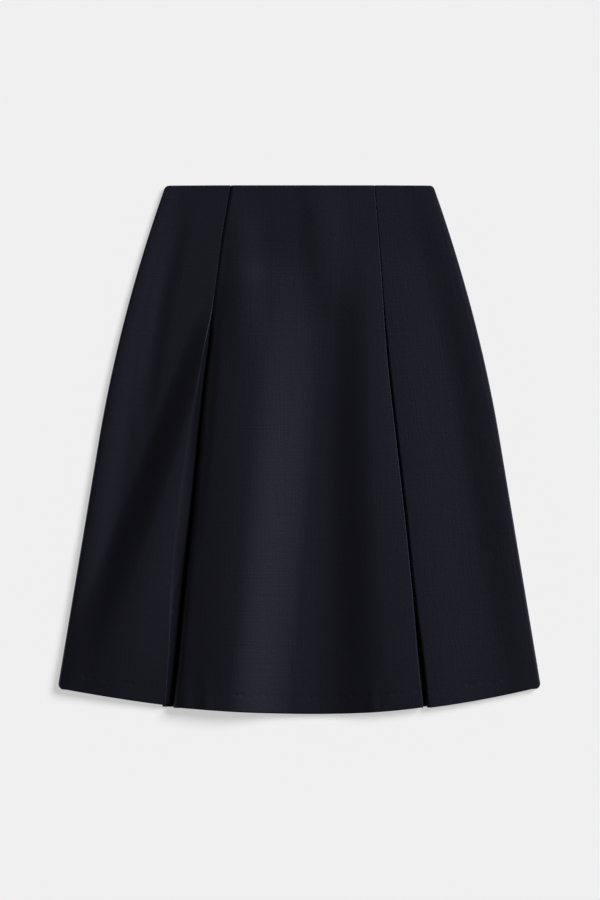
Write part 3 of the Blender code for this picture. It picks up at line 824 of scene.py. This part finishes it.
def tube(name, path, radius, sides, beside, finish):
    """A thread along a path: each ring is the path's point plus radius times N cos a + B sin a,
    where N is the axis "beside", made square to the path, and B is square to both."""
    ahead = np.gradient(path, axis=0)
    ahead /= np.linalg.norm(ahead, axis=1, keepdims=True)
    first = np.array(beside) - (ahead @ np.array(beside))[:, None] * ahead
    first /= np.linalg.norm(first, axis=1, keepdims=True)
    second = np.cross(ahead, first)
    turn = np.linspace(0, 2 * np.pi, sides, endpoint=False)[:, None, None]
    loop = path + radius * (first * np.cos(turn) + second * np.sin(turn))
    along = np.concatenate([[0], np.cumsum(np.linalg.norm(np.diff(path, axis=0), axis=1))])
    weave = np.stack(np.broadcast_arrays(along[None, :], radius * turn[:, :, 0]), axis=-1)
    return woven_mesh(name, loop, weave, finish)


def slab(name, outline, rings, finish):
    """A closed form over an outline in X and Y, anticlockwise. Each of its rings is the outline
    drawn in to a share of its size about its middle, at a height."""
    shares, heights = np.array(rings).T
    middle = outline.mean(axis=0)
    flat = middle + (outline - middle)[:, None, :] * shares[None, :, None]
    loop = np.concatenate([flat, (heights + 0 * flat[..., 0])[..., None]], axis=-1)
    return woven_mesh(name, loop, loop[..., :2], finish)


def signed_power(values, power):
    """The size of each value to a power, with the value's own sign."""
    return np.sign(values) * np.abs(values) ** power


def rounded(middle, size, power, points=48, narrow=0.0):
    """A superellipse |x/a|^p + |y/b|^p = 1 about a middle, its lower end narrower by a share."""
    turn = np.linspace(0, 2 * np.pi, points, endpoint=False)
    y = signed_power(np.sin(turn), 2 / power)
    x = signed_power(np.cos(turn), 2 / power) * (1 - narrow * (1 - y) / 2)
    return np.stack([middle[0] + x * size[0] / 2, middle[1] + y * size[1] / 2], axis=1)


def zip_tape(name, way):
    """One woven tape: a thin closed section, raised on a bell curve where its edge cord lies beside
    the coil, carried down the zip. way is 1 on the +X side."""
    turn = np.linspace(0, 2 * np.pi, TAPE_AROUND, endpoint=False)
    half = (TAPE_HALF - TAPE_GAP) / 2
    out = signed_power(np.cos(turn), TAPE_POWERS[0])
    up = signed_power(np.sin(turn), TAPE_POWERS[1])
    across = TAPE_GAP + half * (1 + out)
    cord = CORD_RISE * np.exp(-(((across - CORD_OFF) / CORD_WIDTH) ** 2)) * (up > 0)
    height = ZIP_UNDER + TAPE / 2 * (1 + up) + cord
    down = np.linspace(0, ZIP_LENGTH, TAPE_COLUMNS)
    section = np.stack([way * across, 0 * across, height], axis=-1)[::way]
    loop = section[:, None, :] + np.stack([0 * down, ZIP_TOP - down, 0 * down], axis=-1)[None]
    weave = np.stack(np.broadcast_arrays(section[:, :1], down[None, :]), axis=-1)
    return woven_mesh(name, loop, weave, TAPE_CLOTH)


def zip_coil(name, way):
    """One nylon coil, a flattened helix whose turns lie between those of the other one."""
    length = ZIP_LENGTH - 2 * STOP[1]
    turns = length / COIL_PITCH
    at = np.linspace(0, turns, int(turns * COIL_POINTS))
    angle = 2 * np.pi * at
    down = STOP[1] + COIL_PITCH * (at + way / 4)
    across = way * (COIL_OFF + COIL_REACH * np.cos(angle))
    height = COIL_MIDDLE + COIL_RISE * np.sin(angle)
    path = np.stack([across, ZIP_TOP - down, height], axis=1)
    return tube(name, path, COIL_WIRE, WIRE_SIDES, (0, 1, 0), COIL_NYLON)


def zip_stitches(name, way):
    """The running stitches that hold one tape to the back: a cosine wave over the tape."""
    stitches = int(ZIP_LENGTH / STITCH) - 1
    at = np.linspace(0, stitches, stitches * STITCH_POINTS + 1)
    height = TAPE_TOP + STITCH_RISE * np.cos(2 * np.pi * at)
    across = way * (TAPE_HALF - STITCH_FROM_EDGE) + 0 * at
    path = np.stack([across, ZIP_TOP - STITCH / 2 - STITCH * at, height], axis=1)
    return tube(name, path, THREAD, WIRE_SIDES, (1, 0, 0), TAPE_CLOTH)


def zip_pull(name):
    """The pull tab: a plate with a hole, as a bevelled section carried round it. Its upper end
    rises on the smooth step u^2 (3 - 2 u) to lie on the slider, below the bridge."""
    middle = ZIP_TOP - TAB_DOWN
    outer = rounded((0, middle), TAB, 4, TAB_POINTS)
    hole = rounded((0, middle + TAB_HOLE_UP), TAB_HOLE, 3, TAB_POINTS)
    low, high = -TAB_THICK / 2, TAB_THICK / 2
    near, far = TAB_BEVEL_AT
    section = (
        (0, low + TAB_BEVEL), (0, high - TAB_BEVEL), (near, high), (far, high),
        (1, high - TAB_BEVEL), (1, low + TAB_BEVEL), (far, low), (near, low),
    )
    share, height = np.array(section).T[..., None]
    flat = outer * (1 - share[..., None]) + hole * share[..., None]
    up = np.clip((flat[..., 1] - (ZIP_TOP - TAB_RISES_FROM)) / TAB_RISES_OVER, 0, 1)
    rest = COIL_MIDDLE + COIL_RISE + COIL_WIRE + TAB_THICK / 2
    climb = SLIDER_TOP + TAB_CLEAR + TAB_THICK / 2 - rest
    height = height + rest + climb * up**2 * (3 - 2 * up)
    loop = np.concatenate([flat, height[..., None]], axis=-1)[::-1]
    return woven_mesh(name, loop, loop[..., :2], PULL_METAL, ends="ring")


def zip_fastener():
    """The closed zip: two tapes and coils, stitches, slider, bridge, pull tab and bottom stop. The
    bridge is half an ellipse over the slider."""
    slider_y = ZIP_TOP - SLIDER_DOWN
    shield = rounded((0, slider_y), SLIDER, SLIDER_POWER, narrow=SLIDER_NARROW)
    turn = np.linspace(0, np.pi, BRIDGE_POINTS)
    bridge_y = slider_y + BRIDGE_HALF * np.cos(turn)
    bridge_up = SLIDER_TOP - BRIDGE_SUNK + BRIDGE_RISE * np.sin(turn)
    bridge = np.stack([0 * turn, bridge_y, bridge_up], axis=1)
    stop = rounded((0, ZIP_TOP - ZIP_LENGTH + STOP[1]), STOP, 4)
    pieces = [
        make(f"back_zip_{part}_{side}", way)
        for part, make in (("tape", zip_tape), ("coil", zip_coil), ("stitches", zip_stitches))
        for side, way in (("left", -1), ("right", 1))
    ]
    pieces += [
        slab("back_zip_slider", shield, SLIDER_RINGS, PULL_METAL),
        tube("back_zip_bridge", bridge, BRIDGE_WIRE, BRIDGE_SIDES, (1, 0, 0), PULL_METAL),
        zip_pull("back_zip_pull"),
        slab("back_zip_stop", stop, STOP_RINGS, PULL_METAL),
    ]
    for piece in pieces:
        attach(piece, "root")
        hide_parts("back_zip")
    return pieces


def skirt():
    """Makes every piece: the three fronts, the strips behind the pleats, the back halves and the zip."""
    for name, panel in (
        ("front_centre", centre_panel), ("front_left", left_panel), ("front_right", right_panel),
    ):
        front_piece(name, panel(), WOOL)
    for name, pleat, hem in (
        ("underlay_left", LEFT_PLEAT, LEFT_UNDERLAY_HEM),
        ("underlay_right", RIGHT_PLEAT, RIGHT_UNDERLAY_HEM),
    ):
        across, height, down = underlay(pleat, hem)
        cloth_piece(name, across, height, down, down[-1:] - down, WOOL)
    for name, way in (("back_left", -1), ("back_right", 1)):
        half = back_panel(way)
        down = down_of(half.depth)
        cloth_piece(name, half.across, half.height, down, half.depth - down, WOOL)
    zip_pieces = zip_fastener()


skirt()


# The picture: straight above, as the photograph, 600 by 900 pixels
PIXEL = 1.27 * MM
PICTURE_TALL = 900 * PIXEL
CAMERA_REACH = 50.0
PICTURE_MIDDLE = (0.83 * MM, -0.5 * MM, 7 * MM)
LENS = 150.0
SENSOR = 36.0


def camera():
    """Looks straight down, from so far that the picture is PICTURE_TALL tall at PICTURE_MIDDLE."""
    data = bpy.data.cameras.new("camera")
    data.sensor_fit = "VERTICAL"
    data.sensor_height = SENSOR
    data.lens = LENS
    data.clip_end = CAMERA_REACH
    made = bpy.data.objects.new("camera", data)
    x, y, z = PICTURE_MIDDLE
    made.location = (x, y, z + PICTURE_TALL * LENS / SENSOR)
    bpy.context.scene.collection.objects.link(made)
    bpy.context.scene.camera = made


FLOOR_HALF = 8.0
FLOOR_DOWN = 0.3 * MM
FLOOR_COLOUR = (0.531, 0.523, 0.496, 1)
FLOOR_GLOW = 0.536
KEY_FROM = (0.60, 0.45, 0.66)  # towards the light
KEY_STRENGTH = 3.0
KEY_ANGLE = math.radians(28)
KEY_COLOUR = (0.97, 0.98, 1.04)
SKY_STRENGTH = 0.008
WALLS_STRENGTH = 0.84
WALLS_UP_TO = (0.10, 0.15)  # where the walls start to fade and end: the sine of the angle up


def floor():
    """A pale floor with a little light of its own, so that shadows on it stay soft and pale."""
    mesh = bpy.data.meshes.new("floor")
    ways = (-1, -1), (1, -1), (1, 1), (-1, 1)
    corners = [(x * FLOOR_HALF, y * FLOOR_HALF, -FLOOR_DOWN) for x, y in ways]
    mesh.from_pydata(corners, [], [(0, 1, 2, 3)])
    finish = bpy.data.materials.new("pale floor")
    finish.use_nodes = True
    shader = finish.node_tree.nodes["Principled BSDF"]
    shader.inputs["Base Color"].default_value = FLOOR_COLOUR
    shader.inputs["Roughness"].default_value = 1
    shader.inputs["Specular IOR Level"].default_value = 0
    shader.inputs["Emission Color"].default_value = (1, 1, 1, 1)
    shader.inputs["Emission Strength"].default_value = FLOOR_GLOW
    mesh.materials.append(finish)
    made = bpy.data.objects.new("floor", mesh)
    bpy.context.scene.collection.objects.link(made)


def lights():
    """A broad soft lamp from the upper right, pale studio walls low down, and a dim ceiling."""
    data = bpy.data.lights.new("key", "SUN")
    data.energy = KEY_STRENGTH
    data.angle = KEY_ANGLE
    data.color = KEY_COLOUR
    made = bpy.data.objects.new("key", data)
    x, y, z = KEY_FROM
    made.rotation_euler = (math.atan2(math.hypot(x, y), z), 0, math.atan2(y, x) + math.pi / 2)
    bpy.context.scene.collection.objects.link(made)
    world = bpy.data.worlds.new("studio")
    world.use_nodes = True
    tree = world.node_tree
    place = tree.nodes.new("ShaderNodeTexCoord").outputs["Generated"]
    up = added(tree, "ShaderNodeSeparateXYZ", Vector=place).outputs["Z"]
    fade = added(tree, "ShaderNodeMapRange", {"interpolation_type": "SMOOTHSTEP"}, Value=up)
    fade.inputs["From Min"].default_value, fade.inputs["From Max"].default_value = WALLS_UP_TO
    fade.inputs["To Min"].default_value = WALLS_STRENGTH
    fade.inputs["To Max"].default_value = SKY_STRENGTH
    tree.links.new(fade.outputs["Result"], tree.nodes["Background"].inputs["Strength"])
    tree.nodes["Background"].inputs["Color"].default_value = (1, 1, 1, 1)
    bpy.context.scene.world = world


camera()
floor()
lights()
bpy.context.scene.view_settings.view_transform = "Standard"
bpy.context.scene.view_settings.look = "None"
